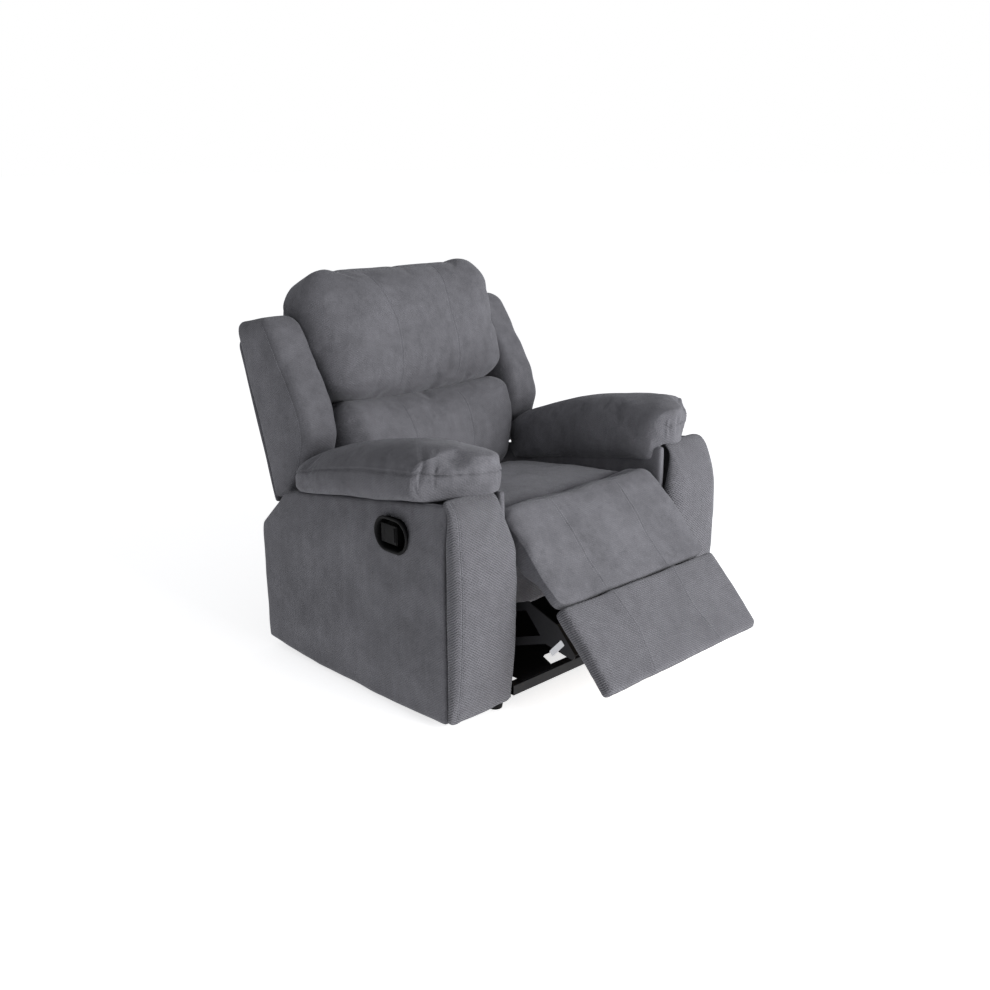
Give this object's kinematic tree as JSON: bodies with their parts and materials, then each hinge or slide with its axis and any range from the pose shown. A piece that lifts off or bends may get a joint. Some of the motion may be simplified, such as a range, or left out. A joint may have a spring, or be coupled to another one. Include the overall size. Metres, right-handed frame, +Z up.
{
  "type": "recliner armchair",
  "caption": "Padded recliner armchair with a folding footrest on a steel linkage, a reclining back with side wings, thick arm pads and a pull latch in the right arm.",
  "frame": {"origin": "middle of the chair's length and width, on the floor, with the footrest part open as at rest", "axes": "+Z up; -Y the way the chair faces; +X towards the sitter's left arm"},
  "size_m": [0.9964, 1.2523, 0.9966],
  "materials": {
    "grey_cord_fabric": "dark grey napped cord fabric with a soft sheen, piled in fine ribs",
    "plywood": "bare sanded plywood and softwood",
    "black_steel": "satin black painted steel",
    "black_plastic": "black moulded plastic with a light sheen",
    "black_cable": "black cable sheath"
  },
  "bodies": {
    "base": {"base_rail_left": "black_steel", "base_rail_right": "black_steel", "foot_front_left": "black_plastic", "foot_front_right": "black_plastic", "foot_rear_left": "black_plastic", "foot_rear_right": "black_plastic", "cross_tube_front": "black_steel", "cross_tube_rear": "black_steel", "arm_outer_panel_left": "grey_cord_fabric", "arm_outer_panel_right": "grey_cord_fabric", "arm_inner_panel_left": "grey_cord_fabric", "arm_inner_panel_right": "grey_cord_fabric", "arm_front_border_left": "grey_cord_fabric", "arm_front_border_right": "grey_cord_fabric", "arm_rear_border_left": "grey_cord_fabric", "arm_rear_border_right": "grey_cord_fabric", "arm_pad_left": "grey_cord_fabric", "arm_pad_right": "grey_cord_fabric", "release_cup": "black_plastic", "release_cable": "black_cable"},
    "release_paddle": {"release_paddle": "black_plastic"},
    "rocker_front": {"rocker_front_left": "black_steel", "rocker_front_right": "black_steel"},
    "rocker_rear": {"rocker_rear_left": "black_steel", "rocker_rear_right": "black_steel"},
    "seat": {"seat_side_plate_left": "black_steel", "seat_side_plate_right": "black_steel", "seat_side_rail_left": "plywood", "seat_side_rail_right": "plywood", "seat_front_rail": "plywood", "seat_rear_rail": "plywood", "sinuous_spring_1": "black_steel", "sinuous_spring_2": "black_steel", "sinuous_spring_3": "black_steel", "seat_cushion": "grey_cord_fabric", "chaise_pad": "grey_cord_fabric"},
    "back": {"back_post_left": "plywood", "back_post_right": "plywood", "back_bracket_left": "black_steel", "back_bracket_right": "black_steel", "back_wing_left": "grey_cord_fabric", "back_wing_right": "grey_cord_fabric", "back_bottom_rail": "plywood", "back_top_rail": "plywood", "back_rear_panel": "grey_cord_fabric", "head_cushion": "grey_cord_fabric", "lumbar_cushion": "grey_cord_fabric"},
    "footrest": {"footrest_board": "plywood", "footrest_pad": "grey_cord_fabric", "footrest_bracket_left": "black_steel", "footrest_bracket_right": "black_steel"},
    "crank_front": {"crank_front_left": "black_steel", "crank_front_right": "black_steel"},
    "crank_rear": {"crank_rear_left": "black_steel", "crank_rear_right": "black_steel", "drive_tube": "black_steel"},
    "link_bar_upper": {"link_bar_upper_left": "black_steel", "link_bar_upper_right": "black_steel"},
    "link_bar_lower": {"link_bar_lower_left": "black_steel", "link_bar_lower_right": "black_steel"}
  },
  "joints": [
    {"name": "back_recline", "type": "hinge", "parent": "seat", "child": "back", "pos_m": [0, 0.3368, 0.27], "axis": [-1, 0, 0], "range_deg": [0, 25]},
    {"name": "rocker_front_swing", "type": "hinge", "parent": "base", "child": "rocker_front", "pos_m": [0, -0.1732, 0.062], "axis": [1, 0, 0], "range_deg": [0, 30]},
    {"name": "seat_swing", "type": "hinge", "parent": "rocker_front", "child": "seat", "pos_m": [0, -0.14816, 0.15881], "axis": [1, 0, 0], "range_deg": [-30, 0]},
    {"name": "rocker_rear_swing", "type": "hinge", "parent": "base", "child": "rocker_rear", "pos_m": [0, 0.1968, 0.062], "axis": [1, 0, 0], "range_deg": [0, 30]},
    {"name": "footrest_open", "type": "hinge", "parent": "seat", "child": "footrest", "pos_m": [0, -0.4062, 0.438], "axis": [-1, 0, 0], "range_deg": [-45, 35], "deforming": ["chaise_pad"]},
    {"name": "crank_front_turn", "type": "hinge", "parent": "seat", "child": "crank_front", "pos_m": [0, -0.1932, 0.36111], "axis": [-1, 0, 0], "range_deg": [-45, 35]},
    {"name": "crank_rear_turn", "type": "hinge", "parent": "seat", "child": "crank_rear", "pos_m": [0, 0.0368, 0.27808], "axis": [-1, 0, 0], "range_deg": [-45, 35]},
    {"name": "link_bar_upper_turn", "type": "hinge", "parent": "crank_rear", "child": "link_bar_upper", "pos_m": [0, 0.08771, 0.11631], "axis": [-1, 0, 0], "range_deg": [-35, 45]},
    {"name": "link_bar_lower_turn", "type": "hinge", "parent": "crank_rear", "child": "link_bar_lower", "pos_m": [0, 0.02381, 0.05013], "axis": [-1, 0, 0], "range_deg": [-35, 45]},
    {"name": "release_pull", "type": "hinge", "parent": "base", "child": "release_paddle", "pos_m": [-0.478, -0.0832, 0.447], "axis": [0, 0, -1], "range_deg": [0, 25], "stiffness_Nm_per_rad": 0.3, "springref_deg": -17.19}
  ],
  "couplings": [
    {"joint": "rocker_front_swing", "follows": "back_recline", "ratio": 1.2},
    {"joint": "seat_swing", "follows": "back_recline", "ratio": -1.2},
    {"joint": "rocker_rear_swing", "follows": "back_recline", "ratio": 1.2},
    {"joint": "crank_front_turn", "follows": "footrest_open", "ratio": 1},
    {"joint": "crank_rear_turn", "follows": "footrest_open", "ratio": 1},
    {"joint": "link_bar_upper_turn", "follows": "footrest_open", "ratio": -1},
    {"joint": "link_bar_lower_turn", "follows": "footrest_open", "ratio": -1}
  ]
}
